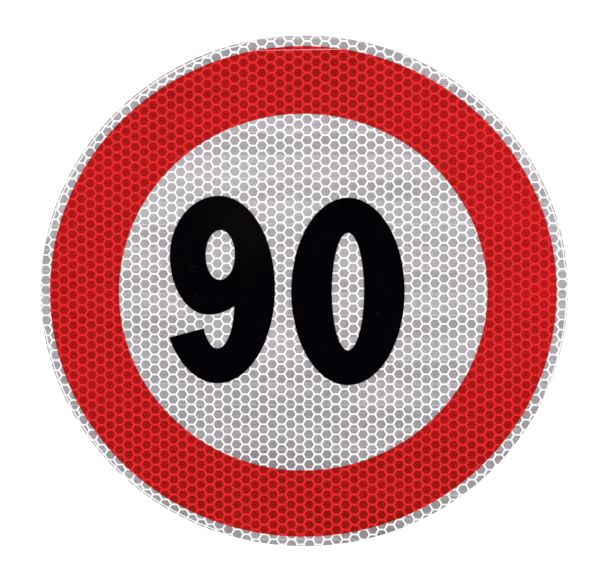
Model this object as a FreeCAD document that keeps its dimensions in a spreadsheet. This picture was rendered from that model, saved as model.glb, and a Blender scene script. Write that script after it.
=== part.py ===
import FreeCAD, Part
import math
import os
import Sketcher

# A round self-adhesive speed limit sign of retroreflective sheeting, in millimetres.
# The disc stands upright in the XZ plane with its digits up along +Z and its face along -Y.
# The origin is the centre of the back face, where the sign meets what it is stuck to.
# Each sheet is drawn lying in its own XY plane with its face along +Z, then stood upright.

SIZES = {
    "disc_diameter": 200.0,
    # Layers, from the back to the face
    "liner_thickness": 0.15,
    "film_thickness": 0.2,
    "grid_height": 0.2,
    "cover_thickness": 0.1,
    "ink_thickness": 0.05,
    # Sealing grid: pitch across the flats, width of a rib, width of the closed band at the rim
    "cell_pitch": 10.5,
    "rib_width": 1.9,
    "rim_seal_width": 1.2,
    # A rim cell smaller than this share of a whole one is left closed
    "smallest_cell_share": 0.3,
    # Red ring, and how far the whole print lies off the disc's centre
    "ring_outer_diameter": 192.1,
    "ring_width": 26.2,
    "print_shift_x": -0.35,
    "print_shift_z": -0.1,
    # Digits: one height and width for both, then each one's centre, from the ring's centre
    "digit_height": 73.4,
    "digit_width": 43.0,
    "nine_centre_x": -32.25,
    "nine_centre_z": 1.0,
    "zero_centre_x": 16.9,
    "zero_centre_z": 0.25,
    # The nine leans clockwise by this many degrees
    "nine_turn": 0.7,
    # Strokes: the upright sides, the side of the nine's bowl, the nine's top, the other caps
    "stem_stroke": 15.4,
    "bowl_stroke": 13.55,
    "nine_top_stroke": 13.35,
    "cap_stroke": 13.7,
    # The nine's bowl: its share of the digit's height, how far it stands in, its lowest point
    "bowl_share": 0.634,
    "bowl_inset": 3.0,
    "bowl_low_shift": 3.8,
    # The nine's throat between bowl and tail, and the slanted end of the tail above its floor
    "throat_width": 12.4,
    "notch_rise": 3.5,
    "tail_inner_rise": 7.8,
    "tail_tip_rise": 4.0,
}

UPRIGHT = FreeCAD.Rotation(FreeCAD.Vector(1, 0, 0), 90)
BACK = "Sizes.liner_thickness"
FILM_TOP = BACK + " + Sizes.film_thickness"
GRID_TOP = FILM_TOP + " + Sizes.grid_height"
COVER_TOP = GRID_TOP + " + Sizes.cover_thickness"


def make_sheet(doc):
    """The driving sizes, one row each: the name, then the value under that alias."""
    sheet = doc.addObject("Spreadsheet::Sheet", "Sizes")
    for row, (alias, value) in enumerate(SIZES.items(), start=1):
        sheet.set(f"A{row}", alias)
        sheet.set(f"B{row}", str(value))
        sheet.setAlias(f"B{row}", alias)
    doc.recompute()
    return sheet


def stand_upright(piece, level):
    """Stands a lying piece upright, with its back at the given level in front of the origin."""
    piece.Placement = FreeCAD.Placement(FreeCAD.Vector(0, 0, 0), UPRIGHT)
    piece.setExpression(".Placement.Base.y", f"-({level}) * 1 mm")


def place_print(piece, across="0", up="0", turn=0):
    """Moves a printed piece to its place on the face, and turns it clockwise as seen from the front."""
    piece.Placement = FreeCAD.Placement(
        piece.Placement.Base,
        UPRIGHT * FreeCAD.Rotation(FreeCAD.Vector(0, 0, 1), -turn),
    )
    piece.setExpression(".Placement.Base.x", f"(Sizes.print_shift_x + {across}) * 1 mm")
    piece.setExpression(".Placement.Base.z", f"(Sizes.print_shift_z + {up}) * 1 mm")


def centred_circle(sketch, name, diameter):
    """A full circle about the sketch's origin, with its diameter bound to the sheet."""
    index = sketch.addGeometry(Part.Circle(FreeCAD.Vector(0, 0, 0), FreeCAD.Vector(0, 0, 1), 10), False)
    sketch.addConstraint(Sketcher.Constraint("Coincident", index, 3, -1, 1))
    constraint = sketch.addConstraint(Sketcher.Constraint("Diameter", index, 20))
    sketch.renameConstraint(constraint, name)
    sketch.setExpression(".Constraints." + name, diameter)


def lying_body(doc, label):
    """A body and its sketch, which lies in the body's own XY plane."""
    body = doc.addObject("PartDesign::Body", label + "_body")
    body.Label = label
    plane = [p for p in body.Origin.OriginFeatures if p.Role == "XY_Plane"][0]
    sketch = body.newObject("Sketcher::SketchObject", label + "_outline")
    sketch.AttachmentSupport = [(plane, "")]
    sketch.MapMode = "FlatFace"
    return body, sketch


def pad_sketch(body, sketch, thickness):
    """Pads the body's sketch towards the face of the sign, to a thickness bound to the sheet."""
    pad = body.newObject("PartDesign::Pad", body.Label + "_pad")
    pad.Profile = sketch
    pad.setExpression("Length", thickness)
    sketch.Visibility = False


def padded_circles(doc, label, circles, thickness, level):
    """A flat round sheet: concentric circles, padded to its thickness."""
    body, sketch = lying_body(doc, label)
    for name, diameter in circles.items():
        centred_circle(sketch, name, diameter)
    pad_sketch(body, sketch, thickness)
    stand_upright(body, level)
    return body


def flat_hexagon(centre_x, centre_y, across_flats):
    """A hexagon with level top and bottom sides, as its six corners."""
    corner = across_flats / math.sqrt(3)
    angles = [math.radians(60 * step) for step in range(6)]
    return [
        FreeCAD.Vector(centre_x + corner * math.cos(angle), centre_y + corner * math.sin(angle), 0)
        for angle in angles
    ]


def cell_centres(pitch, reach):
    """Centres of a honeycomb with level sides: columns half a pitch up and down by turns."""
    column_pitch = pitch * math.sqrt(3) / 2
    columns = math.ceil(reach / column_pitch)
    rows = math.ceil(reach / pitch) + 1
    for column in range(-columns, columns + 1):
        lift = pitch / 2 if column % 2 else 0.0
        for row in range(-rows, rows + 1):
            yield column * column_pitch, row * pitch + lift


def cell_wire(centre, size, seal_circle, seal_radius, smallest_share):
    """The opening of one cell: whole inside the rim seal, cut off along it, or none."""
    corners = flat_hexagon(centre[0], centre[1], size)
    whole = Part.makePolygon(corners + corners[:1])
    distances = [corner.Length for corner in corners]
    if max(distances) < seal_radius:
        return whole
    if min(distances) > seal_radius:
        return None
    hexagon = Part.Face(whole)
    kept = hexagon.common(seal_circle)
    if kept.Area < smallest_share * hexagon.Area:
        return None
    return kept.Faces[0].OuterWire


def make_grid(doc, sheet):
    """The white sealing grid: one round sheet that is open at every honeycomb cell."""
    outer_radius = sheet.disc_diameter / 2
    seal_radius = outer_radius - sheet.rim_seal_width
    seal_circle = Part.Face(Part.Wire(Part.makeCircle(seal_radius)))
    size = sheet.cell_pitch - sheet.rib_width
    openings = []
    for centre in cell_centres(sheet.cell_pitch, outer_radius):
        wire = cell_wire(centre, size, seal_circle, seal_radius, sheet.smallest_cell_share)
        if wire is not None:
            openings.append(wire)
    rim = Part.Wire(Part.makeCircle(outer_radius))
    face = Part.Face(rim)
    face = face.cut(Part.makeCompound([Part.Face(wire) for wire in openings]))
    grid = doc.addObject("Part::Feature", "honeycomb_grid_sheet")
    grid.Label = "honeycomb_grid"
    grid.Shape = face.Faces[0].extrude(FreeCAD.Vector(0, 0, sheet.grid_height))
    stand_upright(grid, FILM_TOP)
    print("cells in the grid:", len(openings))
    return grid


class Oval:
    """An upright ellipse. Its angles are in degrees from +X towards +Y, as on a circle."""

    def __init__(self, centre_x, centre_y, half_width, half_height):
        self.centre_x = centre_x
        self.centre_y = centre_y
        self.half_width = half_width
        self.half_height = half_height

    def point(self, angle):
        turn = math.radians(angle)
        return FreeCAD.Vector(
            self.centre_x + self.half_width * math.cos(turn),
            self.centre_y + self.half_height * math.sin(turn),
            0,
        )

    def right_angle(self, height):
        """The angle of the point at a height on the right side."""
        return math.degrees(math.asin((height - self.centre_y) / self.half_height))

    def left_angle(self, height):
        """The angle of the point at a height on the left side."""
        return 180 - self.right_angle(height)

    def whole(self):
        middle = FreeCAD.Vector(self.centre_x, self.centre_y, 0)
        if self.half_width > self.half_height:
            return Part.Ellipse(self.point(0), self.point(90), middle)
        return Part.Ellipse(self.point(90), self.point(180), middle)

    def arc(self, start, end):
        """The arc between two angles. The curve's own angles start at its long axis."""
        ahead = 0 if self.half_width > self.half_height else 90
        return Part.ArcOfEllipse(self.whole(), math.radians(start - ahead), math.radians(end - ahead))


def nine_curves(sheet):
    """The nine's outline about its own centre, against the clock from the tail's tip, and its counter."""
    half_width = sheet.digit_width / 2
    half_height = sheet.digit_height / 2
    stem_side = half_width - sheet.stem_stroke
    bowl_side = half_width - sheet.bowl_inset
    bowl_half_height = sheet.bowl_share * half_height
    bowl_middle = half_height - bowl_half_height
    bowl_floor = bowl_middle - bowl_half_height
    notch = bowl_floor + sheet.notch_rise
    throat_floor = sheet.cap_stroke - half_height
    throat_half_width = sheet.throat_width / 2

    outer = Oval(0, 0, half_width, half_height)
    throat = Oval(stem_side - throat_half_width, notch, throat_half_width, notch - throat_floor)
    tip = outer.left_angle(throat_floor + sheet.tail_tip_rise)
    tail_corner = throat.left_angle(throat_floor + sheet.tail_inner_rise)

    # The bowl is three quarter ovals: its shoulder, its side, and its underside up to the notch
    shoulder = Oval(0, bowl_middle, bowl_side, bowl_half_height)
    low_x = -sheet.bowl_low_shift
    side = Oval(low_x, bowl_middle, bowl_side - sheet.bowl_low_shift, bowl_half_height)
    notch_angle = side.right_angle(notch)
    notch_reach = (stem_side + sheet.bowl_low_shift) / math.cos(math.radians(notch_angle))
    underside = Oval(low_x, bowl_middle, notch_reach, bowl_half_height)

    counter_left = sheet.bowl_stroke - bowl_side
    counter_top = half_height - sheet.nine_top_stroke
    counter_floor = bowl_floor + sheet.cap_stroke
    counter = Oval(
        (counter_left + stem_side) / 2,
        (counter_top + counter_floor) / 2,
        (stem_side - counter_left) / 2,
        (counter_top - counter_floor) / 2,
    )
    return [
        outer.arc(tip - 360, 90),
        shoulder.arc(90, 180),
        side.arc(180, 270),
        underside.arc(270, 360 + notch_angle),
        throat.arc(tail_corner, 360),
        Part.LineSegment(throat.point(tail_corner), outer.point(tip)),
        counter.whole(),
    ]


def make_nine(doc, sheet):
    """The printed nine: an outline of oval arcs with an open counter, padded to the ink's thickness."""
    nine, sketch = lying_body(doc, "digit_nine")
    sketch.addGeometry(nine_curves(sheet), False)
    pad_sketch(nine, sketch, "Sizes.ink_thickness")
    stand_upright(nine, COVER_TOP)
    place_print(nine, "Sizes.nine_centre_x", "Sizes.nine_centre_z", sheet.nine_turn)
    return nine


def oval_block(doc, name, half_width, half_height):
    """A parametric upright oval about its own centre, as thick as the ink."""
    oval = doc.addObject("Part::Ellipse", name + "_curve")
    oval.setExpression("MinorRadius", half_width)
    oval.setExpression("MajorRadius", half_height)
    oval.Placement = FreeCAD.Placement(
        FreeCAD.Vector(0, 0, 0), FreeCAD.Rotation(FreeCAD.Vector(0, 0, 1), 90)
    )
    block = doc.addObject("Part::Extrusion", name)
    block.Base = oval
    block.DirMode = "Custom"
    block.Dir = FreeCAD.Vector(0, 0, 1)
    block.Solid = True
    block.setExpression("LengthFwd", "Sizes.ink_thickness")
    return block


def make_zero(doc, sheet):
    """The printed zero: an upright oval less the narrow oval of its counter."""
    outer = oval_block(doc, "zero_outer", "Sizes.digit_width / 2", "Sizes.digit_height / 2")
    counter = oval_block(
        doc,
        "zero_counter",
        "Sizes.digit_width / 2 - Sizes.stem_stroke",
        "Sizes.digit_height / 2 - Sizes.cap_stroke",
    )
    zero = doc.addObject("Part::Cut", "digit_zero_print")
    zero.Label = "digit_zero"
    zero.Base = outer
    zero.Tool = counter
    stand_upright(zero, COVER_TOP)
    place_print(zero, "Sizes.zero_centre_x", "Sizes.zero_centre_z")
    return zero


def check_document(doc, pieces):
    """Stops if an object failed to compute, or a piece's shape is missing, invalid or no solid."""
    for item in doc.Objects:
        if "Invalid" in item.State or "Error" in item.State:
            raise RuntimeError(f"{item.Label} failed: {item.State}")
    for piece in pieces:
        if piece.Shape.isNull() or not piece.Shape.isValid() or not piece.Shape.Solids:
            raise RuntimeError(f"{piece.Label} has no valid solid")


def main():
    doc = FreeCAD.newDocument("speed_limit_sign")
    sheet = make_sheet(doc)
    whole_disc = {"rim": "Sizes.disc_diameter"}
    ring = {
        "outer": "Sizes.ring_outer_diameter",
        "inner": "Sizes.ring_outer_diameter - 2 * Sizes.ring_width",
    }
    liner = padded_circles(doc, "release_liner", whole_disc, "Sizes.liner_thickness", "0")
    film = padded_circles(doc, "reflector_film", whole_disc, "Sizes.film_thickness", BACK)
    grid = make_grid(doc, sheet)
    cover = padded_circles(doc, "cover_film", whole_disc, "Sizes.cover_thickness", GRID_TOP)
    red_ring = padded_circles(doc, "red_ring", ring, "Sizes.ink_thickness", COVER_TOP)
    place_print(red_ring)
    nine = make_nine(doc, sheet)
    zero = make_zero(doc, sheet)
    pieces = [liner, film, grid, cover, red_ring, nine, zero]

    doc.recompute()
    check_document(doc, pieces)
    os.makedirs("parts", exist_ok=True)
    for piece in pieces:
        piece.Shape.exportStep(os.path.join("parts", piece.Label + ".step"))
        box = piece.Shape.BoundBox
        print(
            f"{piece.Label}: {box.XLength:.2f} x {box.YLength:.2f} x {box.ZLength:.2f},"
            f" volume {piece.Shape.Volume:.1f}, solids {len(piece.Shape.Solids)}"
        )


main()
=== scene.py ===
"""A round speed limit disc of retroreflective sheeting, dressed for its portrait.

The disc stands upright in the XZ plane, its face towards -Y. From the back to the face it is
a release liner, a bead-coated reflector film, a honeycomb of white sealing ribs, a clear
face film, and the print: a red ring and the two black digits 90.
"""

import logging
import math
from dataclasses import asdict, dataclass
from enum import Enum
from typing import Any, Union

import bpy
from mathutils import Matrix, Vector


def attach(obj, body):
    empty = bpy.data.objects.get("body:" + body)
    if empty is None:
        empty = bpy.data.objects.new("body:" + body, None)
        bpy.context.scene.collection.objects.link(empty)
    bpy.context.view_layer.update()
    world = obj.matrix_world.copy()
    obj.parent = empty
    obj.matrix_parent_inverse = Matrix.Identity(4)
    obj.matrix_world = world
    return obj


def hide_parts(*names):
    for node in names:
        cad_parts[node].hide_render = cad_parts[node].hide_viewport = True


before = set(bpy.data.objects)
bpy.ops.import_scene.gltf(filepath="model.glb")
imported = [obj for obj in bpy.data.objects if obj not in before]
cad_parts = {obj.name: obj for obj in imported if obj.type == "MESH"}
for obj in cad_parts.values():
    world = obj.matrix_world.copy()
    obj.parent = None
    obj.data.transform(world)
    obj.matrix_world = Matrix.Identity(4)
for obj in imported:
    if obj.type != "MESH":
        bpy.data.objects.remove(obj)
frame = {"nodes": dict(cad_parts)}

LOG = logging.getLogger("speed_limit_disc")

MM = 0.001
RADIUS = 100.0 * MM
SEALED = 99.9 * MM
OVERCUT = 0.1 * MM
ROOT_3 = math.sqrt(3)
UPRIGHT = (math.radians(90), 0.0, 0.0)
BODY = "root"

Triple = tuple[float, float, float]
Face = tuple[int, ...]
Colour = Triple
Value = Union["Socket", float, int]


def colour_of(red: int, green: int, blue: int) -> Colour:
    """Turns a display colour into the linear one that a shader takes.

    Args:
        red: Red from 0 to 255.
        green: Green from 0 to 255.
        blue: Blue from 0 to 255.

    Returns:
        The linear red, green and blue, from 0 to 1.
    """

    def linear(level: int) -> float:
        """One channel, by the display's own curve."""
        share = level / 255
        return share / 12.92 if share <= 0.04045 else ((share + 0.055) / 1.055) ** 2.4

    return linear(red), linear(green), linear(blue)


class Socket:
    """One output of a node, with the operators that the sums in this file use."""

    def __init__(self, tree: "Tree", link: bpy.types.NodeSocket) -> None:
        """Keeps the output and the tree that it belongs to."""
        self.tree = tree
        self.link = link

    def sum_of(self, operation: str, *values: Value) -> "Socket":
        """Adds one Math node.

        Args:
            operation: The node's operation, such as "ADD".
            values: What goes into its sockets, in order.

        Returns:
            The node's result.
        """
        inputs = dict(enumerate(values))
        return self.tree.node("ShaderNodeMath", {"operation": operation}, inputs)[0]

    def __add__(self, other: Value) -> "Socket":
        """Self plus other."""
        return self.sum_of("ADD", self, other)

    def __radd__(self, other: Value) -> "Socket":
        """Other plus self."""
        return self.sum_of("ADD", other, self)

    def __sub__(self, other: Value) -> "Socket":
        """Self less other."""
        return self.sum_of("SUBTRACT", self, other)

    def __rsub__(self, other: Value) -> "Socket":
        """Other less self."""
        return self.sum_of("SUBTRACT", other, self)

    def __mul__(self, other: Value) -> "Socket":
        """Self times other."""
        return self.sum_of("MULTIPLY", self, other)

    def __rmul__(self, other: Value) -> "Socket":
        """Other times self."""
        return self.sum_of("MULTIPLY", other, self)

    def __truediv__(self, other: Value) -> "Socket":
        """Self over other."""
        return self.sum_of("DIVIDE", self, other)

    def __rtruediv__(self, other: Value) -> "Socket":
        """Other over self."""
        return self.sum_of("DIVIDE", other, self)

    def __mod__(self, other: Value) -> "Socket":
        """What is left of self after whole others."""
        return self.sum_of("FLOORED_MODULO", self, other)

    def __rmod__(self, other: Value) -> "Socket":
        """What is left of other after whole selfs."""
        return self.sum_of("FLOORED_MODULO", other, self)

    def __abs__(self) -> "Socket":
        """Self without its sign."""
        return self.sum_of("ABSOLUTE", self)

    def __lt__(self, other: Value) -> "Socket":
        """One where self is less than other, else nought."""
        return self.sum_of("LESS_THAN", self, other)

    def __gt__(self, other: Value) -> "Socket":
        """One where self is more than other, else nought."""
        return self.sum_of("GREATER_THAN", self, other)

    def rounded(self) -> "Socket":
        """Self as the nearest whole number."""
        return self.sum_of("ROUND", self)

    def or_more(self, other: Value) -> "Socket":
        """The larger of self and other."""
        return self.sum_of("MAXIMUM", self, other)


class Outputs:
    """A node's outputs, found by name or by number."""

    def __init__(self, tree: "Tree", node: bpy.types.Node) -> None:
        """Keeps the node and its tree."""
        self.tree = tree
        self.node = node

    def __getitem__(self, key: Union[str, int]) -> Socket:
        """The output of that name or number."""
        return Socket(self.tree, self.node.outputs[key])


class Tree:
    """A node tree as it is built, for a finish or for a shape."""

    def __init__(self, nodes: bpy.types.NodeTree) -> None:
        """Takes over an empty node tree."""
        self.nodes = nodes

    def node(
        self,
        kind: str,
        settings: Union[dict[str, Any], None] = None,
        inputs: Union[dict[Union[str, int], Any], None] = None,
    ) -> Outputs:
        """Adds any node.

        Args:
            kind: The node's type, such as "ShaderNodeMath".
            settings: The node's own properties, which are set first.
            inputs: What goes into each socket, by its name or number: a value, a Socket, or a
                list of Sockets for a socket that takes several.

        Returns:
            The node's outputs.
        """
        made = self.nodes.nodes.new(kind)
        for name, value in (settings or {}).items():
            setattr(made, name, value)
        for key, value in (inputs or {}).items():
            for given in value if isinstance(value, list) else [value]:
                if isinstance(given, Socket):
                    self.nodes.links.new(given.link, made.inputs[key])
                else:
                    self._set_value(made.inputs[key], given)
        return Outputs(self, made)

    @staticmethod
    def _set_value(socket: bpy.types.NodeSocket, value: Any) -> None:
        """Writes a constant on a socket, and gives a colour its fourth number.

        Args:
            socket: The input that takes it.
            value: A number, a colour, a vector, a flag or a material.
        """
        if socket.type == "RGBA" and len(value) == 3:
            value = (*value, 1.0)
        socket.default_value = value

    def vector(self, operation: str, *values: Any, scale: Union[Value, None] = None) -> Socket:
        """Adds one Vector Math node.

        Args:
            operation: The node's operation, such as "ADD".
            values: What goes into its vector sockets, in order.
            scale: The factor of a "SCALE".

        Returns:
            The node's vector.
        """
        inputs: dict[Union[str, int], Any] = dict(enumerate(values))
        if scale is not None:
            inputs["Scale"] = scale
        return self.node("ShaderNodeVectorMath", {"operation": operation}, inputs)["Vector"]

    def length(self, vector: Socket) -> Socket:
        """How long a vector is."""
        return self.node("ShaderNodeVectorMath", {"operation": "LENGTH"}, {0: vector})["Value"]

    def parts(self, vector: Socket) -> tuple[Socket, Socket, Socket]:
        """A vector's X, Y and Z."""
        split = self.node("ShaderNodeSeparateXYZ", inputs={0: vector})
        return split["X"], split["Y"], split["Z"]

    def joined(self, x: Value, y: Value, z: Value) -> Socket:
        """A vector made of its X, Y and Z."""
        return self.node("ShaderNodeCombineXYZ", inputs={0: x, 1: y, 2: z})["Vector"]


class BlendMode(Enum):
    """How one colour is laid over another."""

    MIX = "MIX"
    MULTIPLY = "MULTIPLY"


class FinishTree(Tree):
    """The node tree of one finish.

    Its place is the shaded point, in metres, in the object's own coordinates.
    """

    def __init__(self, name: str) -> None:
        """Makes an empty material.

        Args:
            name: The material's name.
        """
        self.material = bpy.data.materials.new(name)
        self.material.use_nodes = True
        super().__init__(self.material.node_tree)
        self.nodes.nodes.clear()
        self.place = self.node("ShaderNodeTexCoord")["Object"]

    def layer(
        self, under: Any, over: Any, share: Value, mode: BlendMode = BlendMode.MIX
    ) -> Socket:
        """Lays one colour over another.

        Args:
            under: The colour below.
            over: The colour on top.
            share: How much of the top one shows, from 0 to 1.
            mode: How it is laid on.

        Returns:
            The blended colour.
        """
        settings = {"data_type": "RGBA", "blend_type": mode.value, "clamp_factor": True}
        return self.node("ShaderNodeMix", settings, {0: share, 6: under, 7: over})[2]

    def grain(
        self,
        scale: float,
        detail: float = 2.0,
        roughness: float = 0.5,
        at: Union[Socket, None] = None,
    ) -> Socket:
        """Smooth noise from 0 to 1.

        Args:
            scale: How many features a unit of the coordinates holds.
            detail: How many finer layers are added.
            roughness: How strong those are.
            at: The coordinates that it follows, if not the shaded point's.

        Returns:
            The noise.
        """
        vector = self.place if at is None else at
        inputs = {"Vector": vector, "Scale": scale, "Detail": detail, "Roughness": roughness}
        return self.node("ShaderNodeTexNoise", {"noise_dimensions": "3D"}, inputs)["Fac"]

    def streaks(
        self, place: Socket, scales: Triple, detail: float, roughness: float = 0.5
    ) -> Socket:
        """Smooth noise from 0 to 1 that has a scale of its own along each axis."""
        return self.grain(1.0, detail, roughness, at=self.vector("MULTIPLY", place, scales))

    def mottle(self, scale: float, number: Socket, apart: float) -> Socket:
        """Smooth noise from 0 to 1 that starts afresh in each cell.

        Args:
            scale: How many features a metre holds.
            number: The cell's number.
            apart: How far apart the noise is read in neighbouring cells.

        Returns:
            The noise.
        """
        own = self.vector("SCALE", number, scale=apart)
        scaled = self.vector("SCALE", self.place, scale=scale)
        return self.grain(1.0, at=self.vector("ADD", scaled, own))

    def cell_shade(self, number: Socket) -> Socket:
        """A random number from 0 to 1 for each cell."""
        noise = self.node("ShaderNodeTexWhiteNoise", {"noise_dimensions": "3D"}, {0: number})
        return self.parts(noise["Color"])[0]

    def step(self, value: Socket, low: float, high: float) -> Socket:
        """Rises smoothly from 0 to 1 as value goes from low to high.

        Args:
            value: What is read.
            low: Where the rise starts.
            high: Where it ends.

        Returns:
            The smooth step.
        """
        inputs = {"Value": value, "From Min": low, "From Max": high, "To Min": 0.0, "To Max": 1.0}
        return self.node("ShaderNodeMapRange", {"interpolation_type": "SMOOTHSTEP"}, inputs)[0]

    def relief(self, height: Socket, depth: float, strength: float) -> Socket:
        """Turns a height into a normal.

        Args:
            height: The height, from 0 to 1.
            depth: What 1 stands for, in metres.
            strength: How much of it counts.

        Returns:
            The bent normal.
        """
        inputs = {"Strength": strength, "Distance": depth, "Height": height}
        return self.node("ShaderNodeBump", inputs=inputs)["Normal"]

    def solid(self, **sockets: Any) -> Socket:
        """Adds the Principled shader.

        Args:
            sockets: What goes into its sockets, with _ for each space in a name.

        Returns:
            The shader.
        """
        inputs = {name.replace("_", " "): value for name, value in sockets.items()}
        return self.node("ShaderNodeBsdfPrincipled", inputs=inputs)["BSDF"]

    def shown(self, surface: Socket) -> bpy.types.Material:
        """Ends the tree.

        Args:
            surface: The shader of the surface.

        Returns:
            The material.
        """
        self.node("ShaderNodeOutputMaterial", inputs={"Surface": surface})
        return self.material

    def finished(self, **sockets: Any) -> bpy.types.Material:
        """Ends the tree with one Principled shader, whose sockets solid explains."""
        return self.shown(self.solid(**sockets))


class ShapeTree(Tree):
    """A Geometry Nodes tree that makes one piece from named sizes."""

    KINDS = {float: "NodeSocketFloat", bpy.types.Material: "NodeSocketMaterial"}

    def __init__(self, name: str, sizes: dict[str, Any]) -> None:
        """Makes an empty tree with an input for each size.

        Args:
            name: The tree's name.
            sizes: Each input's name and value: a number or a material.
        """
        super().__init__(bpy.data.node_groups.new(name, "GeometryNodeTree"))
        self.sizes = sizes
        face = self.nodes.interface
        face.new_socket("Geometry", in_out="INPUT", socket_type="NodeSocketGeometry")
        for label, value in sizes.items():
            face.new_socket(label, in_out="INPUT", socket_type=self.KINDS[type(value)])
        face.new_socket("Geometry", in_out="OUTPUT", socket_type="NodeSocketGeometry")
        self.given = self.node("NodeGroupInput")

    def __getitem__(self, label: str) -> Socket:
        """The input of that name."""
        return self.given[label]

    def prism(self, outline: Socket, low: Value, high: Value) -> Socket:
        """A closed solid with a flat outline, which stands along Z.

        Args:
            outline: A closed curve in the XY plane.
            low: Where it starts, in Z.
            high: Where it ends, in Z.

        Returns:
            The solid.
        """
        start, end = self.joined(0.0, 0.0, low), self.joined(0.0, 0.0, high)
        spine = self.node("GeometryNodeCurvePrimitiveLine", inputs={"Start": start, "End": end})[0]
        inputs = {"Curve": spine, "Profile Curve": outline, "Fill Caps": True}
        return self.node("GeometryNodeCurveToMesh", inputs=inputs)["Mesh"]

    def round_bar(self, radius: Value, low: Value, high: Value, sides: int) -> Socket:
        """A closed round solid about the Z axis.

        Args:
            radius: Its radius.
            low: Where it starts, in Z.
            high: Where it ends, in Z.
            sides: How many flats stand for its round side.

        Returns:
            The solid.
        """
        inputs = {"Vertices": sides, "Radius": radius, "Depth": high - low}
        bar = self.node("GeometryNodeMeshCylinder", {"fill_type": "NGON"}, inputs)["Mesh"]
        return self.moved(bar, self.joined(0.0, 0.0, (low + high) * 0.5))

    def moved(
        self, geometry: Socket, shift: Any = (0.0, 0.0, 0.0), turn: Any = (0.0, 0.0, 0.0)
    ) -> Socket:
        """Turns a geometry about the origin and then shifts it.

        Args:
            geometry: What is moved.
            shift: How far it goes.
            turn: Its turns about X, Y and Z, in radians.

        Returns:
            The moved geometry.
        """
        inputs = {"Geometry": geometry, "Translation": shift, "Rotation": turn}
        return self.node("GeometryNodeTransform", inputs=inputs)[0]

    def cut(self, body: Socket, *tools: Socket) -> Socket:
        """Takes tools away from a closed solid.

        Args:
            body: The solid.
            tools: The closed solids that are cut out of it.

        Returns:
            What is left.
        """
        settings = {"operation": "DIFFERENCE", "solver": "MANIFOLD"}
        return self.node("GeometryNodeMeshBoolean", settings, {0: body, 1: list(tools)})[0]

    def made(self, geometry: Socket, name: str) -> bpy.types.Object:
        """Ends the tree, runs it and keeps the result as a plain mesh.

        Args:
            geometry: What the tree gives, upright and with its material.
            name: The new object's name.

        Returns:
            The object, with no modifier.
        """
        whole = self.node("GeometryNodeRealizeInstances", inputs={"Geometry": geometry})[0]
        inputs = {"Geometry": whole, "Material": self["Finish"]}
        dressed = self.node("GeometryNodeSetMaterial", inputs=inputs)[0]
        self.node("NodeGroupOutput", inputs={0: dressed})
        holder = bpy.data.objects.new(name + "_maker", bpy.data.meshes.new(name + "_seed"))
        bpy.context.scene.collection.objects.link(holder)
        maker = holder.modifiers.new("maker", "NODES")
        maker.node_group = self.nodes
        for item in self.nodes.interface.items_tree:
            if item.in_out == "INPUT" and item.name in self.sizes:
                maker[item.identifier] = self.sizes[item.name]
        holder.update_tag()
        graph = bpy.context.evaluated_depsgraph_get()
        mesh = bpy.data.meshes.new_from_object(holder.evaluated_get(graph), depsgraph=graph)
        holder.modifiers.remove(maker)
        bpy.data.objects.remove(holder)
        mesh.name = name
        return linked(name, mesh)


def linked(name: str, mesh: bpy.types.Mesh) -> bpy.types.Object:
    """Puts a mesh in the scene, at the origin.

    Args:
        name: The object's name.
        mesh: Its mesh.

    Returns:
        The object.
    """
    made = bpy.data.objects.new(name, mesh)
    bpy.context.scene.collection.objects.link(made)
    return made


def shaped(
    name: str, points: list[Triple], faces: list[Face], finish: bpy.types.Material
) -> bpy.types.Object:
    """Makes one object from its points and faces.

    Args:
        name: The object's name.
        points: Its points.
        faces: Its faces.
        finish: Its material.

    Returns:
        The object.
    """
    mesh = bpy.data.meshes.new(name)
    mesh.from_pydata(points, [], faces)
    mesh.materials.append(finish)
    mesh.validate()
    return linked(name, mesh)


def add_strip(sections: list[list[Triple]], points: list[Triple], faces: list[Face]) -> None:
    """Adds one closed strip with a four-sided section to a mesh in the making.

    Args:
        sections: The corners of each section, in order along the strip: as seen from the face,
            the left side's back and face corner, and then the right side's.
        points: The mesh's points so far, which grow.
        faces: Its faces so far, which grow.
    """
    first = len(points)
    points += [corner for section in sections for corner in section]
    last = len(points) - 4
    for a in range(first, last, 4):
        b = a + 4
        faces += [(a + 3, b + 3, b + 1, a + 1), (b, b + 2, a + 2, a)]
        faces += [(a + 1, b + 1, b, a), (b + 2, b + 3, a + 3, a + 2)]
    faces += [(first + 2, first + 3, first + 1, first), (last + 1, last + 3, last + 2, last)]


@dataclass(frozen=True)
class Bow:
    """How the bow of the sheet carries a cell away from its place in an even layout.

    Each field is how far, to the right or up, for each metre of a product of the cell's
    distances right of the disc's centre (x) and above it (z).
    """

    right_z: Value = -0.003
    right_xx: Value = 0.034
    right_xz: Value = 0.0136
    right_zz: Value = 0.0188
    up_z: Value = -0.0008
    up_xx: Value = -0.0507
    up_xz: Value = 0.0324
    up_zz: Value = 0.0982
    up_xxz: Value = -0.423
    up_zzz: Value = 0.544

    def carry(self, x: Socket, z: Socket) -> tuple[Socket, Socket]:
        """How far a cell is carried.

        Args:
            x: How far right of the disc's centre it is, in metres.
            z: How far above it.

        Returns:
            The shifts to the right and up, in metres.
        """
        xx, xz, zz = x * x, x * z, z * z
        right = z * self.right_z + xx * self.right_xx + xz * self.right_xz + zz * self.right_zz
        up = z * self.up_z + xx * self.up_xx + xz * self.up_xz + zz * self.up_zz
        return right, up + xx * z * self.up_xxz + zz * z * self.up_zzz


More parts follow.
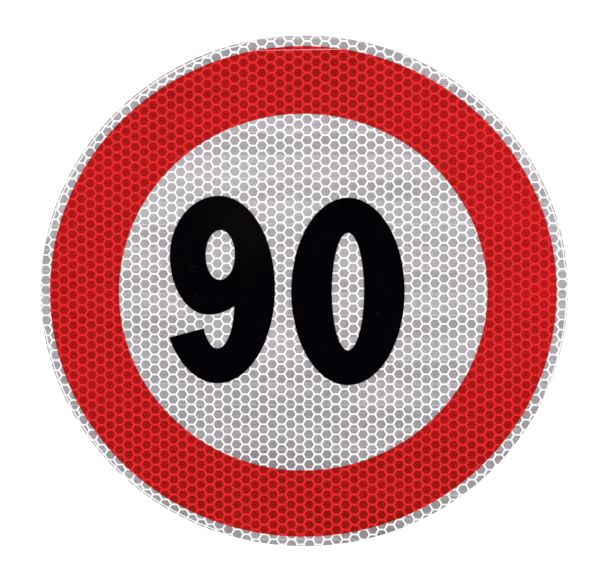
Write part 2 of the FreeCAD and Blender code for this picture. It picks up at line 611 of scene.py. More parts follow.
@dataclass(frozen=True)
class CellLayout:
    """Where the cells of the honeycomb lie: flat-topped hexagons in slightly bowed rows.

    The centre of one cell is at (phase_x, phase_z), in metres from the disc's centre, and the
    whole layout is turned a little, anticlockwise as seen from the face.
    """

    pitch: float = 3.965 * MM
    rib: float = 0.71 * MM
    corner: float = 0.24 * MM
    phase_x: float = 1.350 * MM
    phase_z: float = -0.627 * MM
    turn: float = math.radians(0.105)
    bow: Bow = Bow()

    @property
    def column(self) -> float:
        """How far apart the columns are."""
        return self.pitch * ROOT_3 / 2

    @property
    def window(self) -> float:
        """A cell's width between its ribs, from flat to flat."""
        return self.pitch - self.rib

    def even(self, tree: FinishTree) -> Socket:
        """Where the shaded point would lie if the rows had no bow.

        Args:
            tree: The finish that asks.

        Returns:
            The place, in metres.
        """
        across, depth, up = tree.parts(tree.place)
        aside, rise = self.bow.carry(across, up)
        return tree.joined(across - aside, depth, up - rise)

    def of_point(self, tree: FinishTree) -> tuple[Socket, Socket, Socket]:
        """Finds the cell that each shaded point lies in.

        Args:
            tree: The finish that asks.

        Returns:
            The cell's number as a vector, the way from its centre to the point, and how far
            out the point is, from 0 at the centre to half the pitch midway through the rib.
        """
        settings = {"vector_type": "TEXTURE"}
        centre, turned = (self.phase_x, 0.0, self.phase_z), (0.0, -self.turn, 0.0)
        inputs = {"Vector": self.even(tree), "Location": centre, "Rotation": turned}
        place = tree.node("ShaderNodeMapping", settings, inputs)["Vector"]
        place = tree.vector("MULTIPLY", place, (1.0, 0.0, 1.0))
        # the cells lie on two even grids, half a step apart, and the nearer centre counts
        wide, tall = self.column, self.pitch / 2
        high, low = (wide, 1.0, tall), (-wide, -1.0, -tall)
        near = tree.vector("WRAP", place, high, low)
        aside = tree.vector("SUBTRACT", place, (wide, 0.0, tall))
        other = tree.vector("WRAP", aside, high, low)
        first = tree.length(near) < tree.length(other)
        settings = {"data_type": "VECTOR", "factor_mode": "UNIFORM"}
        offset = tree.node("ShaderNodeMix", settings, {0: first, 4: other, 5: near})[1]
        steps = tree.vector("DIVIDE", tree.vector("SUBTRACT", place, offset), high)
        number = tree.vector("FLOOR", tree.vector("ADD", steps, (0.5, 0.5, 0.5)))
        x, _, z = tree.parts(offset)
        slant = abs(x) * (ROOT_3 / 2) + abs(z) * 0.5
        return number, offset, slant.or_more(abs(z))

    def plugs(self, tree: ShapeTree, reach: float) -> Socket:
        """Makes one closed six-sided plug for each cell, upright along Z.

        Args:
            tree: The shape that asks, with the inputs that sizes gives.
            reach: How far out cells are needed, in metres.

        Returns:
            The plugs.
        """
        columns = 2 * math.ceil(reach / self.column) + 3
        rows = 2 * math.ceil(reach / self.pitch) + 3
        column = tree["Pitch"] * (ROOT_3 / 2)
        wide, high = column * float(columns - 1), tree["Pitch"] * float(rows - 1)
        inputs = {"Size X": wide, "Size Y": high, "Vertices X": columns, "Vertices Y": rows}
        grid = tree.node("GeometryNodeMeshGrid", inputs=inputs)["Mesh"]
        x, _, _ = tree.parts(tree.node("GeometryNodeInputPosition")["Position"])
        odd = (x / column).rounded() % 2.0
        lift = tree.joined(0.0, odd * tree["Pitch"] * 0.5, 0.0)
        points = tree.node("GeometryNodeSetPosition", inputs={"Geometry": grid, "Offset": lift})[0]
        shift = tree.joined(tree["Phase X"], tree["Phase Y"], 0.0)
        points = tree.moved(points, shift, tree.joined(0.0, 0.0, tree["Turn"]))
        across, up, _ = tree.parts(tree.node("GeometryNodeInputPosition")["Position"])
        aside, rise = Bow(**{name: tree[name] for name in asdict(self.bow)}).carry(across, up)
        inputs = {"Geometry": points, "Offset": tree.joined(aside, rise, 0.0)}
        points = tree.node("GeometryNodeSetPosition", inputs=inputs)[0]
        away = tree.length(tree.node("GeometryNodeInputPosition")["Position"])
        settings = {"domain": "POINT"}
        inputs = {"Geometry": points, "Selection": away > reach}
        points = tree.node("GeometryNodeDeleteGeometry", settings, inputs)[0]
        radius = (tree["Pitch"] - tree["Rib"]) / ROOT_3
        ring = tree.node("GeometryNodeMeshCircle", inputs={"Vertices": 6, "Radius": radius})[0]
        line = tree.node("GeometryNodeMeshToCurve", inputs={"Mesh": ring})[0]
        inputs = {"Curve": line, "Count": 1, "Radius": tree["Corner"], "Limit Radius": True}
        outline = tree.node("GeometryNodeFilletCurve", {"mode": "POLY"}, inputs)[0]
        plug = tree.prism(outline, tree["Low"] - OVERCUT, tree["High"] + OVERCUT)
        turned = tree.joined(0.0, 0.0, tree["Turn"])
        taller = tree.joined(1.0, tree["Tall"], 1.0)
        inputs = {"Points": points, "Instance": plug, "Rotation": turned, "Scale": taller}
        placed = tree.node("GeometryNodeInstanceOnPoints", inputs=inputs)[0]
        return tree.node("GeometryNodeRealizeInstances", inputs={"Geometry": placed})[0]

    def sizes(self, low: float, high: float, tall: float = 1.0) -> dict[str, Any]:
        """The named inputs that plugs reads.

        Args:
            low: How far the sheet's back is in front of the disc's back, in metres.
            high: How far its face is.
            tall: How much taller the windows are than even hexagons.

        Returns:
            Each input's name and value.
        """
        return {
            "Pitch": self.pitch,
            "Rib": self.rib,
            "Corner": self.corner,
            "Phase X": self.phase_x,
            "Phase Y": self.phase_z,
            "Turn": self.turn,
            **asdict(self.bow),
            "Tall": tall,
            "Low": low,
            "High": high,
        }


@dataclass(frozen=True)
class LinerPaper:
    """The siliconised paper on the back: pale, fibrous and faintly glazed."""

    body: Colour = colour_of(242, 237, 220)
    fibre: Colour = colour_of(224, 214, 188)
    cloud_scale: float = 60.0
    cloud_share: float = 0.25
    level_fibres: Triple = (260.0, 1500.0, 1500.0)
    upright_fibres: Triple = (1700.0, 1500.0, 320.0)
    fibre_share: float = 0.35
    cell_fringe: float = 0.3 * MM
    texture: float = 0.012 * MM
    roughness: float = 0.34
    layout: CellLayout = CellLayout()

    def material(self) -> bpy.types.Material:
        """Builds the finish, in which the cells show through faintly.

        Returns:
            The material.
        """
        tree = FinishTree("liner_paper")
        cloud = tree.step(tree.grain(self.cloud_scale, 4.0, 0.6), 0.45, 0.8)
        level = tree.streaks(tree.place, self.level_fibres, 5.0, 0.7)
        upright = tree.streaks(tree.place, self.upright_fibres, 4.0, 0.7)
        fibres = tree.step(level * 0.6 + upright * 0.4, 0.42, 0.66)
        colour = tree.layer(self.body, self.fibre, fibres * self.fibre_share)
        _, _, out = self.layout.of_point(tree)
        fringe = self.layout.window / 2 - self.cell_fringe
        height = fibres * 0.6 + tree.step(out, fringe, self.layout.pitch / 2) * 0.4
        return tree.finished(
            Base_Color=tree.layer(colour, self.fibre, cloud * self.cloud_share),
            Roughness=fibres * 0.14 + self.roughness,
            Normal=tree.relief(height, self.texture, 0.6),
            Specular_IOR_Level=0.4,
        )


@dataclass(frozen=True)
class Patch:
    """A soft oval patch that is paler or deeper than the surface round it.

    Its middle is at (x, z), in millimetres from the disc's centre, and wide and high are how
    many it reaches to the side and up.
    """

    x: float
    z: float
    wide: float
    high: float
    strength: float = 1.0

    def over(self, tree: FinishTree) -> Socket:
        """Its strength at each point, which fades to nought at its rim.

        Args:
            tree: The finish that asks.

        Returns:
            The strength, whole at its middle.
        """
        away = tree.vector("SUBTRACT", tree.place, (self.x * MM, 0.0, self.z * MM))
        shares = (1.0 / MM / self.wide, 0.0, 1.0 / MM / self.high)
        reach = tree.length(tree.vector("MULTIPLY", away, shares))
        return tree.step(reach, 1.0, 0.0) * self.strength


@dataclass(frozen=True)
class Slope:
    """How a tone changes over the disc.

    Each field is the change at the rim for a distance up or right, or for a product of two,
    counted in the disc's radius.
    """

    up: float = 0.0
    right: float = 0.0
    up_up: float = 0.0
    right_up: float = 0.0
    right_right: float = 0.0

    def tone(self, tree: FinishTree) -> Socket:
        """The change at each point.

        Args:
            tree: The finish that asks.

        Returns:
            The change, nought at the disc's centre.
        """
        across, _, height = tree.parts(tree.place)
        right, up = across / RADIUS, height / RADIUS
        slope = up * self.up + right * self.right + up * up * self.up_up
        return slope + right * up * self.right_up + right * right * self.right_right


@dataclass(frozen=True)
class CoatBands:
    """The level bands of the reflecting coat: light and dark by turns, with a bright seam between.

    A light band reaches down from every second seam, and the other seams end it. Heights are in
    metres from the disc's centre, and what follows them is counted in pairs of bands.
    """

    seam_pitch: float = 8.88 * MM
    first_seam: float = -0.23 * MM
    second_seam: float = 0.497
    light_end: float = 0.505
    light_start: float = 0.493
    upper_reach: float = 0.085
    lower_reach: float = 0.024
    lower_core: float = 0.002
    light: float = 0.5
    lower: float = 1.9
    level: float = -0.35

    def tone(self, tree: FinishTree, height: Socket) -> Socket:
        """How the bands lighten or darken the coat.

        Args:
            tree: The finish that asks.
            height: How high the shaded point is.

        Returns:
            The change: 0.15 in a light band, -0.35 in a dark one, more than 1 at a seam.
        """
        depth = ((self.first_seam - height) / (2 * self.seam_pitch)) % 1.0
        light = tree.step(depth, self.light_end, self.light_start) * self.light
        upper = tree.step(depth, self.upper_reach, 0.0)
        past = abs(depth - self.second_seam)
        lower = tree.step(past, self.lower_reach, self.lower_core) * self.lower
        return light + upper + lower + self.level


@dataclass(frozen=True)
class CoatTone:
    """How light the coat is over the whole disc: sloped, banded, drifting and mottled, with
    patches of painted sheen.
    """

    level: float
    slope: Slope
    patches: tuple[Patch, ...]
    band_share: float
    drift_scales: Triple
    drift_share: float
    mottle_scale: float
    mottle_apart: float
    mottle_share: float
    cell_share: float = 0.05
    bands: CoatBands = CoatBands()

    def over(
        self, tree: FinishTree, layout: CellLayout, number: Socket
    ) -> tuple[Socket, Socket]:
        """The tone at each point.

        Args:
            tree: The finish that asks.
            layout: The cells.
            number: The number of the point's cell.

        Returns:
            The share of the lighter colour, and the mottling in it, from 0 to 1.
        """
        even = layout.even(tree)
        drift = tree.streaks(even, self.drift_scales, 1.0)
        mottle = tree.mottle(self.mottle_scale, number, self.mottle_apart)
        bands = self.bands.tone(tree, tree.parts(even)[2])
        tone = self.slope.tone(tree) + bands * self.band_share + self.level
        tone = tone + (drift - 0.5) * self.drift_share + (mottle - 0.5) * self.mottle_share
        tone = tone + (tree.cell_shade(number) - 0.5) * self.cell_share
        # painted sheen: the coat is paler in some patches and deeper in others
        for patch in self.patches:
            tone = tone + patch.over(tree)
        return tone, mottle


@dataclass(frozen=True)
class BeadFilm:
    """The film under the cells: a silvery coat in level bands, grey from the front."""

    light: Colour = colour_of(212, 207, 212)
    dark: Colour = colour_of(118, 113, 118)
    rosy: Colour = (1.0, 0.955, 0.99)
    green: Colour = (0.97, 1.0, 0.985)
    cream: Colour = (1.0, 1.0, 0.94)
    coat: CoatTone = CoatTone(
        level=0.45,
        slope=Slope(up=0.17, up_up=-0.2, right_up=-0.12),
        patches=(
            # painted sheen, in patches paler and deeper than the coat round them: inside the ring
            Patch(-22.0, 58.0, 30.0, 16.0, -0.08),
            Patch(-33.0, -52.0, 26.0, 18.0, 0.1),
            Patch(-13.0, -19.0, 20.0, 15.0, 0.18),
            Patch(-2.0, -4.0, 15.0, 14.0, -0.16),
            Patch(-4.0, -42.0, 62.0, 15.0, -0.07),
            # painted sheen along the cut edge
            Patch(-42.0, 94.0, 34.0, 30.0, -0.23),
            Patch(-80.0, 62.0, 34.0, 34.0, -0.24),
            Patch(-101.0, 18.0, 28.0, 28.0, -0.14),
            Patch(-62.0, -78.0, 32.0, 30.0, 0.22),
            Patch(-2.0, -102.0, 36.0, 30.0, 0.3),
            Patch(88.0, -52.0, 22.0, 22.0, -0.12),
        ),
        band_share=0.2,
        drift_scales=(22.0, 1.0, 110.0),
        drift_share=0.42,
        mottle_scale=1300.0,
        mottle_apart=3.7,
        mottle_share=0.5,
    )
    # painted sheen: a paler, creamier patch at the upper left
    creamy: Patch = Patch(-33.0, 38.0, 34.0, 26.0)
    creamy_share: float = 0.1
    # painted light and shade along each cell's sides: how wide, and how strong to the right and
    # upwards
    shade_width: float = 0.6 * MM
    shade_right: float = 0.102
    shade_up: float = 0.06
    bead_scale: float = 13000.0
    bead_share: float = 0.03
    hue_scale: float = 50.0
    hue_share: float = 0.85
    cream_scale: float = 85.0
    texture: float = 0.01 * MM
    roughness: float = 0.4
    layout: CellLayout = CellLayout()

    def material(self) -> bpy.types.Material:
        """Builds the finish.

        Returns:
            The material.
        """
        tree = FinishTree("bead_film")
        number, offset, out = self.layout.of_point(tree)
        creamy = self.creamy.over(tree)
        tone, mottle = self.coat.over(tree, self.layout, number)
        # painted light and shade: near its ribs each cell is darker along its right and upper
        # sides and paler along its left and lower ones
        x, _, z = tree.parts(offset)
        half = self.layout.window / 2
        side = x * (self.shade_right / half) + z * (self.shade_up / half)
        tone = tone - tree.step(out, half - self.shade_width, half) * side
        # the beads: raised in the relief, with a painted glint that makes each a little paler at
        # its middle
        inputs = {"Vector": tree.place, "Scale": self.bead_scale, "Randomness": 0.8}
        beads = tree.node("ShaderNodeTexVoronoi", {"feature": "F1"}, inputs)["Distance"]
        tone = tone + tree.step(beads, 0.35, 0.05) * self.bead_share + creamy * self.creamy_share
        return tree.finished(
            Base_Color=self._tinted(tree, tree.layer(self.dark, self.light, tone), creamy),
            Metallic=0.15,
            Roughness=mottle * 0.1 + self.roughness,
            Normal=tree.relief(1.0 - beads, self.texture, 0.35),
            Specular_IOR_Level=0.2,
        )

    def _tinted(self, tree: FinishTree, colour: Socket, creamy: Socket) -> Socket:
        """Lets the hue drift between green, rose and cream, and tints the painted sheen at the
        upper left cream.

        Args:
            tree: The finish.
            colour: The coat's colour so far.
            creamy: How much the point lies in the creamy patch of painted sheen.

        Returns:
            The tinted colour.
        """
        rose = tree.step(tree.grain(self.hue_scale), 0.36, 0.62)
        hue = tree.layer(self.green, self.rosy, rose)
        colour = tree.layer(colour, hue, self.hue_share, BlendMode.MULTIPLY)
        drift = tree.step(tree.grain(self.cream_scale, 1.0), 0.42, 0.66)
        return tree.layer(colour, self.cream, drift * 0.6 + creamy * 0.4, BlendMode.MULTIPLY)


@dataclass(frozen=True)
class SealRib:
    """The white resin of the sealing ribs."""

    body: Colour = (0.99, 0.983, 0.992)
    shade: Colour = (0.955, 0.945, 0.957)
    cloud_scale: float = 220.0
    cloud_share: float = 0.3
    fine_scale: float = 3200.0
    fine_share: float = 0.2
    texture: float = 0.015 * MM
    roughness: float = 0.42

    def material(self) -> bpy.types.Material:
        """Builds the finish.

        Returns:
            The material.
        """
        tree = FinishTree("white_seal")
        cloud = tree.step(tree.grain(self.cloud_scale), 0.45, 0.8)
        fine = tree.grain(self.fine_scale, 3.0, 0.6)
        colour = tree.layer(self.body, self.shade, cloud * self.cloud_share)
        spots = tree.step(fine, 0.5, 0.75) * self.fine_share
        return tree.finished(
            Base_Color=tree.layer(colour, self.shade, spots),
            Roughness=fine * 0.15 + self.roughness,
            Normal=tree.relief(fine, self.texture, 0.4),
            Specular_IOR_Level=0.15,
        )


@dataclass(frozen=True)
class ClearFilm:
    """The clear face film: it shows as gloss, faintly pressed in along the ribs."""

    tint: Colour = (0.985, 0.985, 0.985)
    gloss_index: float = 1.2
    opacity: float = 0.02
    dust_scale: float = 900.0
    dust_share: float = 0.03
    pressed_width: float = 0.2 * MM
    texture: float = 0.012 * MM
    roughness: float = 0.08
    layout: CellLayout = CellLayout()

    def material(self) -> bpy.types.Material:
        """Builds the finish.

        Returns:
            The material.
        """
        tree = FinishTree("clear_film")
        _, _, out = self.layout.of_point(tree)
        half = self.layout.window / 2
        dust = tree.grain(self.dust_scale, 3.0, 0.6)
        pressed = tree.step(out, half - self.pressed_width, half)
        return tree.finished(
            Base_Color=self.tint,
            Alpha=tree.step(dust, 0.5, 0.9) * self.dust_share + self.opacity,
            Roughness=dust * 0.12 + self.roughness,
            Normal=tree.relief(dust * 0.25 + (1.0 - pressed) * 0.75, self.texture, 0.5),
            IOR=self.gloss_index,
        )


class InkZone(Enum):
    """What the red ink lies over."""

    CELL = "cell"
    RIB = "rib"


@dataclass(frozen=True)
class RedInk:
    """The transparent red ink, deep over the cells and bright over the ribs."""

    dark: Colour = colour_of(132, 13, 0)
    light: Colour = colour_of(198, 15, 21)
    edge: Colour = colour_of(208, 17, 20)
    bright: Colour = colour_of(234, 41, 46)
    soft: Colour = colour_of(219, 44, 47)
    coat: CoatTone = CoatTone(
        level=0.5,
        slope=Slope(up=0.13, right=0.05, up_up=-0.22, right_up=0.08, right_right=0.07),
        patches=(
            # painted sheen, in patches paler and deeper than the ink round them
            Patch(0.0, 88.0, 42.0, 22.0, -0.09),
            Patch(90.0, 3.0, 22.0, 45.0, 0.1),
            Patch(-22.0, -72.0, 36.0, 24.0, 0.1),
            Patch(60.0, -58.0, 28.0, 24.0, -0.08),
        ),
        band_share=0.06,
        drift_scales=(16.0, 1.0, 90.0),
        drift_share=0.6,
        mottle_scale=1100.0,
        mottle_apart=2.9,
        mottle_share=1.2,
    )
    fringe_width: float = 0.45 * MM
    fringe_share: float = 0.75
    rib_scale: float = 260.0
    rib_share: float = 0.8
    rib_fine_scale: float = 1500.0
    rib_fine_share: float = 0.2
    swell_scale: float = 700.0
    texture: float = 0.01 * MM
    cell_roughness: float = 0.2
    rib_roughness: float = 0.22
    gloss_index: float = 1.15
    layout: CellLayout = CellLayout()

    def over(self, zone: InkZone) -> bpy.types.Material:
        """Builds the finish for one zone.

        Args:
            zone: What the ink lies over.

        Returns:
            The material.
        """
        tree = FinishTree("red_ink_" + zone.value)
        paint = self._over_ribs if zone is InkZone.RIB else self._over_cells
        colour, rough = paint(tree)
        swell = tree.relief(tree.grain(self.swell_scale), self.texture, 0.25)
        return tree.finished(
            Base_Color=colour, Roughness=rough, Normal=swell, IOR=self.gloss_index
        )

    def _over_ribs(self, tree: FinishTree) -> tuple[Socket, Socket]:
        """The bright red, a little uneven.

        Args:
            tree: The finish.

        Returns:
            The colour and the roughness.
        """
        slow = tree.step(tree.grain(self.rib_scale), 0.42, 0.62)
        fine = tree.grain(self.rib_fine_scale)
        colour = tree.layer(self.bright, self.soft, slow * self.rib_share)
        spots = tree.step(fine, 0.55, 0.8) * self.rib_fine_share
        return tree.layer(colour, self.edge, spots), fine * 0.1 + self.rib_roughness

    def _over_cells(self, tree: FinishTree) -> tuple[Socket, Socket]:
        """The deep red, with the tone of the coat behind it, painted sheen included, and a paler
        fringe along the ribs.

        Args:
            tree: The finish.

        Returns:
            The colour and the roughness.
        """
        number, _, out = self.layout.of_point(tree)
        tone, mottle = self.coat.over(tree, self.layout, number)
        half = self.layout.window / 2
        fringe = tree.step(out, half - self.fringe_width, half) * self.fringe_share
        colour = tree.layer(tree.layer(self.dark, self.light, tone), self.edge, fringe)
        return colour, mottle * 0.1 + self.cell_roughness


@dataclass(frozen=True)
class CreaseFold:
    """The ink along a fold in the ring: pale, and palest on the right."""

    body: Colour = colour_of(236, 120, 124)
    pale: Colour = colour_of(243, 178, 181)
    pale_from: float = -20.0 * MM
    pale_to: float = 22.0 * MM
    pale_share: float = 0.7
    grain_scale: float = 400.0
    grain_share: float = 0.6
    roughness: float = 0.2
    gloss_index: float = 1.15

    def material(self) -> bpy.types.Material:
        """Builds the finish.

        Returns:
            The material.
        """
        tree = FinishTree("crease_ink")
        slow = tree.grain(self.grain_scale)
        across, _, _ = tree.parts(tree.place)
        share = tree.step(across, self.pale_from, self.pale_to) * self.pale_share
        share = (share + (slow - 0.5) * self.grain_share).or_more(0.0)
        return tree.finished(
            Base_Color=tree.layer(self.body, self.pale, share),
            Roughness=slow * 0.2 + self.roughness,
            IOR=self.gloss_index,
        )


@dataclass(frozen=True)
class BlackInk:
    """The opaque black ink of the digits: faintly uneven, with a few specks of dust and a painted
    sheen, paler over the upper part of the nine.
    """

    body: Colour = (0.0006, 0.0, 0.0011)
    worn: Colour = (0.0030, 0.0020, 0.0030)
    dust: Colour = (0.0080, 0.0075, 0.0085)
    shoulder: Patch = Patch(-22.0, 26.0, 26.0, 24.0)
    specks: tuple[Patch, ...] = (
        Patch(-42.0, 9.9, 1.8, 0.4),
        Patch(-42.0, 8.3, 1.8, 0.4),
        Patch(-40.9, -1.2, 0.7, 0.6),
        Patch(27.4, -7.9, 2.0, 0.45),
    )
    cloud_scale: float = 120.0
    cloud_share: float = 0.3
    fine_scale: float = 2400.0
    texture: float = 0.01 * MM
    roughness: float = 0.2
    gloss_index: float = 1.05

    def material(self) -> bpy.types.Material:
        """Builds the finish.

        Returns:
            The material.
        """
        tree = FinishTree("black_ink")
        cloud = tree.grain(self.cloud_scale, 3.0)
        fine = tree.grain(self.fine_scale, 3.0, 0.6)
        # real unevenness from the cloud, plus painted sheen over the upper part of the nine
        worn = tree.step(cloud, 0.4, 0.8) * self.cloud_share + self.shoulder.over(tree)
        colour = tree.layer(self.body, self.worn, worn)
        for speck in self.specks:
            colour = tree.layer(colour, self.dust, speck.over(tree))
        return tree.finished(
            Base_Color=colour,
            Roughness=cloud * 0.12 + fine * 0.08 + self.roughness,
            Normal=tree.relief(fine * 0.4 + cloud * 0.6, self.texture, 0.3),
            IOR=self.gloss_index,
        )


@dataclass
class SheetLayers:
    """The layers and digits whose shapes are already right: they get their finishes here."""

    nodes: dict[str, bpy.types.Object]
    layout: CellLayout

    def dress(self) -> None:
        """Gives each carried-over layer its finish."""
        finishes = {
            "release_liner": LinerPaper(layout=self.layout).material(),
            "reflector_film": BeadFilm(layout=self.layout).material(),
            "cover_film": ClearFilm(layout=self.layout).material(),
        }
        ink = BlackInk().material()
        finishes["digit_nine"] = finishes["digit_zero"] = ink
        for name, finish in finishes.items():
            for slot in self.nodes[name].material_slots:
                slot.material = finish
            LOG.info("%s dressed in %s", name, finish.name)


@dataclass
class Honeycomb:
    """The white sealing ribs: a sheet with a six-sided window over each cell."""

    layout: CellLayout
    radius: float = SEALED
    low: float = 0.35 * MM
    high: float = 0.545 * MM
    tall: float = 1.015
    sides: int = 288

    def build(self) -> bpy.types.Object:
        """Makes the sheet of ribs.

        Returns:
            The piece.
        """
        sizes = self.layout.sizes(self.low, self.high, self.tall)
        sizes |= {"Radius": self.radius, "Finish": SealRib().material()}
        tree = ShapeTree("rib_sheet", sizes)
        plugs = self.layout.plugs(tree, self.radius + self.layout.pitch)
        sheet = tree.round_bar(tree["Radius"], tree["Low"], tree["High"], self.sides)
        upright = tree.moved(tree.cut(sheet, plugs), turn=UPRIGHT)
        return tree.made(upright, "honeycomb")


@dataclass
class RedRing:
    """The red ring: a deep floor over the cells and bright ribs on it.

    Its bore sits a hair off its middle, as the print shows.
    """

    layout: CellLayout
    centre_x: float = -0.35 * MM
    centre_z: float = -0.1 * MM
    outer: float = 96.05 * MM
    inner: float = 69.83 * MM
    bore_x: float = -0.06 * MM
    bore_z: float = -0.13 * MM
    back: float = 0.65 * MM
    floor: float = 0.68 * MM
    face: float = 0.697 * MM
    sides: int = 288

    def build(self) -> bpy.types.Object:
        """Makes the ring in its two shades.

        Returns:
            The piece.
        """
        ink = RedInk(layout=self.layout)
        floor = self._band("ring_floor", self.back, self.floor, InkZone.CELL, ink)
        ribs = self._band("ring_ribs", self.floor, self.face, InkZone.RIB, ink)
        return merged("ring_print", [floor, ribs])

    def _band(
        self, name: str, low: float, high: float, zone: InkZone, ink: RedInk
    ) -> bpy.types.Object:
        """Makes one layer of the ring.

        Args:
            name: The layer's name.
            low: Its back, in metres from the disc's back.
            high: Its face.
            zone: Whether it is the floor of the cells or the ribs, which have windows.
            ink: The finish.

        Returns:
            The layer.
        """
        sizes = self.layout.sizes(low, high)
        # the band is made about its own centre, and then moved
        sizes["Phase X"] -= self.centre_x
        sizes["Phase Y"] -= self.centre_z
        sizes |= {"Outer": self.outer, "Inner": self.inner, "Finish": ink.over(zone)}
        tree = ShapeTree(name, sizes)
        band = tree.round_bar(tree["Outer"], tree["Low"], tree["High"], self.sides)
        start, end = tree["Low"] - OVERCUT, tree["High"] + OVERCUT
        bore = tree.round_bar(tree["Inner"], start, end, self.sides)
        tools = [tree.moved(bore, (self.bore_x, self.bore_z, 0.0))]
        if zone is InkZone.RIB:
            tools.append(self.layout.plugs(tree, self.outer + self.layout.pitch))
        shift = (self.centre_x, 0.0, self.centre_z)
        return tree.made(tree.moved(tree.cut(band, *tools), shift, UPRIGHT), name)


def merged(name: str, parts: list[bpy.types.Object]) -> bpy.types.Object:
    """Makes one piece of several.

    Args:
        name: The piece's name.
        parts: The objects that go into it, which all sit at the origin.

    Returns:
        The piece.
    """
    bpy.ops.object.select_all(action="DESELECT")
    for part in parts:
        part.select_set(True)
    bpy.context.view_layer.objects.active = parts[0]
    bpy.ops.object.join()
    parts[0].name = parts[0].data.name = name
    return parts[0]


@dataclass(frozen=True)
class HighlightArc:
    """One stretch of the painted highlight: the thin white line that runs just inside the cut
    edge.

    Angles are in degrees, anticlockwise from the right as seen from the face. The insets are how
    far in from the edge its middle lies at its start and at its end.
    """

    start: float
    end: float
    inset: float = 0.62 * MM
    last_inset: float = 0.62 * MM


@dataclass
class EdgeHighlight:
    """A painted highlight: the thin white line beside the cut edge, drawn only in the stretches
    where the edge catches the light.
    """

    arcs: tuple[HighlightArc, ...] = (
        HighlightArc(-26.0, 3.0, 0.36 * MM, 0.5 * MM),
        HighlightArc(2.0, 61.0),
        HighlightArc(101.0, 169.0),
        HighlightArc(186.0, 253.0),
    )
    radius: float = SEALED
    width: float = 0.5 * MM
    least_width: float = 0.004 * MM
    low: float = 0.35 * MM
    high: float = 0.546 * MM
    fade: float = 4.0
    run_out: float = 0.275 * MM

    def build(self) -> bpy.types.Object:
        """Makes the stretches as one piece.

        Returns:
            The piece.
        """
        points: list[Triple] = []
        faces: list[Face] = []
        for arc in self.arcs:
            steps = round(arc.end - arc.start)
            sections = [self._section(arc, k / steps) for k in range(steps + 1)]
            add_strip(sections, points, faces)
        # the painted highlight is drawn in the white of the ribs
        return shaped("edge_highlight", points, faces, SealRib().material())

    def _section(self, arc: HighlightArc, share: float) -> list[Triple]:
        """One cross-section of a stretch, which runs out over the cut edge at its ends.

        Args:
            arc: The stretch.
            share: How far along it the section is, from 0 to 1.

        Returns:
            The inner back and face corner, and then the outer ones.
        """
        span = arc.end - arc.start
        angle = math.radians(arc.start + span * share)
        fade = min(1.0, span * min(share, 1 - share) / self.fade)
        fade = fade * fade * (3 - 2 * fade)
        inset = arc.inset + (arc.last_inset - arc.inset) * share
        middle = self.radius - inset * fade + self.run_out * (1 - fade)
        inner = min(middle - self.width / 2, self.radius - self.least_width)
        outer = min(middle + self.width / 2, self.radius)
        return [
            (reach * math.cos(angle), -level, reach * math.sin(angle))
            for reach in (inner, outer)
            for level in (self.low, self.high)
        ]


@dataclass
class Crease:
    """A short straight fold across the top of the ring, which thins out at each end."""

    start: tuple[float, float] = (16.6 * MM, 94.85 * MM)
    end: tuple[float, float] = (-21.6 * MM, 94.17 * MM)
    width: float = 0.36 * MM
    back: float = 0.65 * MM
    face: float = 0.70 * MM
    steps: int = 24
    taper: float = 0.06
    tip: float = 0.08

    def build(self) -> bpy.types.Object:
        """Makes the fold as one closed strip, from right to left.

        Returns:
            The piece.
        """
        sections: list[list[Triple]] = []
        for k in range(self.steps + 1):
            share = k / self.steps
            x, z = (a + (b - a) * share for a, b in zip(self.start, self.end))
            full = min(1.0, min(share, 1 - share) / self.taper)
            half = self.width / 2 * max(self.tip, full)
            levels = (self.back, self.face)
            sections.append([(x, -y, z + up) for up in (-half, half) for y in levels])
        points: list[Triple] = []
        faces: list[Face] = []
        add_strip(sections, points, faces)
        return shaped("ring_crease", points, faces, CreaseFold().material())


@dataclass(frozen=True)
class Lamp:
    """One soft square lamp that faces the disc: its place in metres and its power in watts."""

    name: str
    place: Triple
    power: float
    side: float = 1.8

    def hang(self) -> None:
        """Puts the lamp in the scene."""
        light = bpy.data.lights.new(self.name, "AREA")
        light.shape = "SQUARE"
        light.size = self.side
        light.energy = self.power
        place = Vector(self.place)
        aimed(bpy.data.objects.new(self.name, light), place, -place)


def aimed(thing: bpy.types.Object, place: Vector, way: Vector) -> None:
    """Puts a lamp or a camera in the scene.

    Args:
        thing: The lamp or the camera.
        place: Where it stands.
        way: The direction in which it looks.
    """
    thing.location = place
    thing.rotation_mode = "QUATERNION"
    thing.rotation_quaternion = way.to_track_quat("-Z", "Y")
    bpy.context.scene.collection.objects.link(thing)


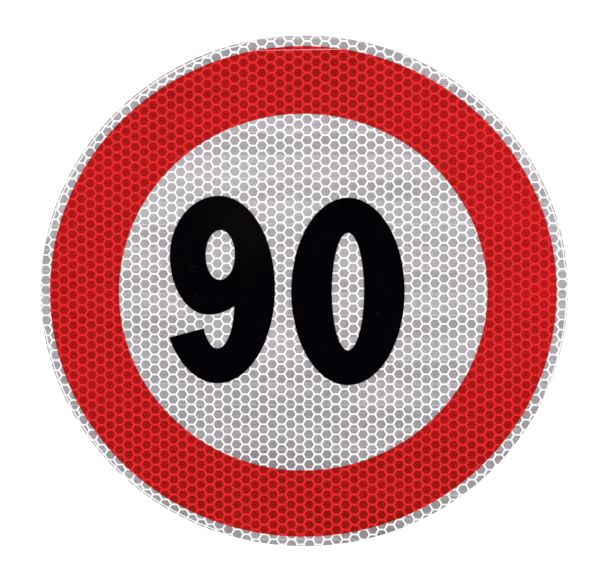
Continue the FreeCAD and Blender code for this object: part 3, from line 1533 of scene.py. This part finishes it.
@dataclass
class Studio:
    """A pale floor, soft lamps and a long lens, a little above the disc."""

    elevation: float = math.radians(14.5)
    distance: float = 7.0
    span: float = 227.44 * MM
    aim: Triple = (-1.63 * MM, 0.0, 1.0 * MM)
    sensor: float = 36.0
    floor_level: float = -0.42
    floor_half: float = 30.0
    floor_paint: Colour = (0.86, 0.86, 0.86)
    floor_speck: Colour = (0.83, 0.83, 0.83)
    floor_glow: float = 0.42
    white: Colour = (1.0, 1.0, 1.0)
    sky_light: float = 0.41
    lamps: tuple[Lamp, ...] = (
        Lamp("key", (-1.1, -3.3, 1.2), 39.0),
        Lamp("fill", (1.3, -3.2, 0.5), 30.1),
        Lamp("rear", (0.6, 2.6, 1.8), 52.0),
    )

    def build(self) -> None:
        """Makes the floor, the sky, the lamps and the camera."""
        self._floor()
        self._sky()
        for lamp in self.lamps:
            lamp.hang()
        self._camera()
        bpy.context.scene.view_settings.view_transform = "Standard"

    def _camera(self) -> None:
        """Places the camera at the portrait's angle."""
        lens = bpy.data.cameras.new("portrait")
        lens.sensor_width = self.sensor
        lens.lens = self.sensor * self.distance / self.span
        lens.clip_start, lens.clip_end = 0.1, 100.0
        camera = bpy.data.objects.new("portrait", lens)
        back = Vector((0.0, -math.cos(self.elevation), math.sin(self.elevation)))
        aimed(camera, Vector(self.aim) + back * self.distance, -back)
        bpy.context.scene.camera = camera

    @staticmethod
    def _seen_white(tree: Tree) -> Socket:
        """One for what the eye, a gloss or a clear film sees directly, else nought.

        Args:
            tree: The tree that asks.

        Returns:
            The mask.
        """
        path = tree.node("ShaderNodeLightPath")
        seen = path["Is Camera Ray"].or_more(path["Is Glossy Ray"])
        return seen.or_more(path["Is Transmission Ray"])

    def _floor(self) -> None:
        """Lays the pale floor, which keeps the disc's shadow."""
        tree = FinishTree("floor_paint")
        speckle = tree.grain(40.0, 3.0)
        colour = tree.layer(self.floor_paint, self.floor_speck, speckle)
        paint = tree.solid(Base_Color=colour, Roughness=0.9, Specular_IOR_Level=0.0)
        inputs = {"Color": self.white, "Strength": self._seen_white(tree) * self.floor_glow}
        glow = tree.node("ShaderNodeEmission", inputs=inputs)[0]
        both = tree.node("ShaderNodeAddShader", inputs={0: paint, 1: glow})[0]
        half, z = self.floor_half, self.floor_level
        corners = [(-half, -half, z), (half, -half, z), (half, half, z), (-half, half, z)]
        floor = shaped("floor", corners, [(0, 1, 2, 3)], tree.shown(both))

    def _sky(self) -> None:
        """Makes the world: white where it is seen, softer where it lights."""
        world = bpy.data.worlds.new("sky")
        world.use_nodes = True
        bpy.context.scene.world = world
        world.node_tree.nodes.clear()
        tree = Tree(world.node_tree)
        strength = self._seen_white(tree) * (1.0 - self.sky_light) + self.sky_light
        inputs = {"Color": self.white, "Strength": strength}
        sky = tree.node("ShaderNodeBackground", inputs=inputs)[0]
        tree.node("ShaderNodeOutputWorld", inputs={"Surface": sky})


def main() -> None:
    """Dresses the disc, makes its pieces and the studio, and reports each."""
    logging.basicConfig(level=logging.INFO, format="%(name)s: %(message)s")
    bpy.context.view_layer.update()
    layout = CellLayout()
    SheetLayers(frame["nodes"], layout).dress()

    ribs = Honeycomb(layout).build()
    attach(ribs, BODY)
    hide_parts("honeycomb_grid")

    ring = RedRing(layout).build()
    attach(ring, BODY)
    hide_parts("red_ring")

    rim_highlight = EdgeHighlight().build()
    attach(rim_highlight, BODY)

    crease = Crease().build()
    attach(crease, BODY)

    for piece in (ribs, ring, rim_highlight, crease):
        LOG.info("%s has %d faces", piece.name, len(piece.data.polygons))
    Studio().build()


if __name__ == "__main__":
    main()
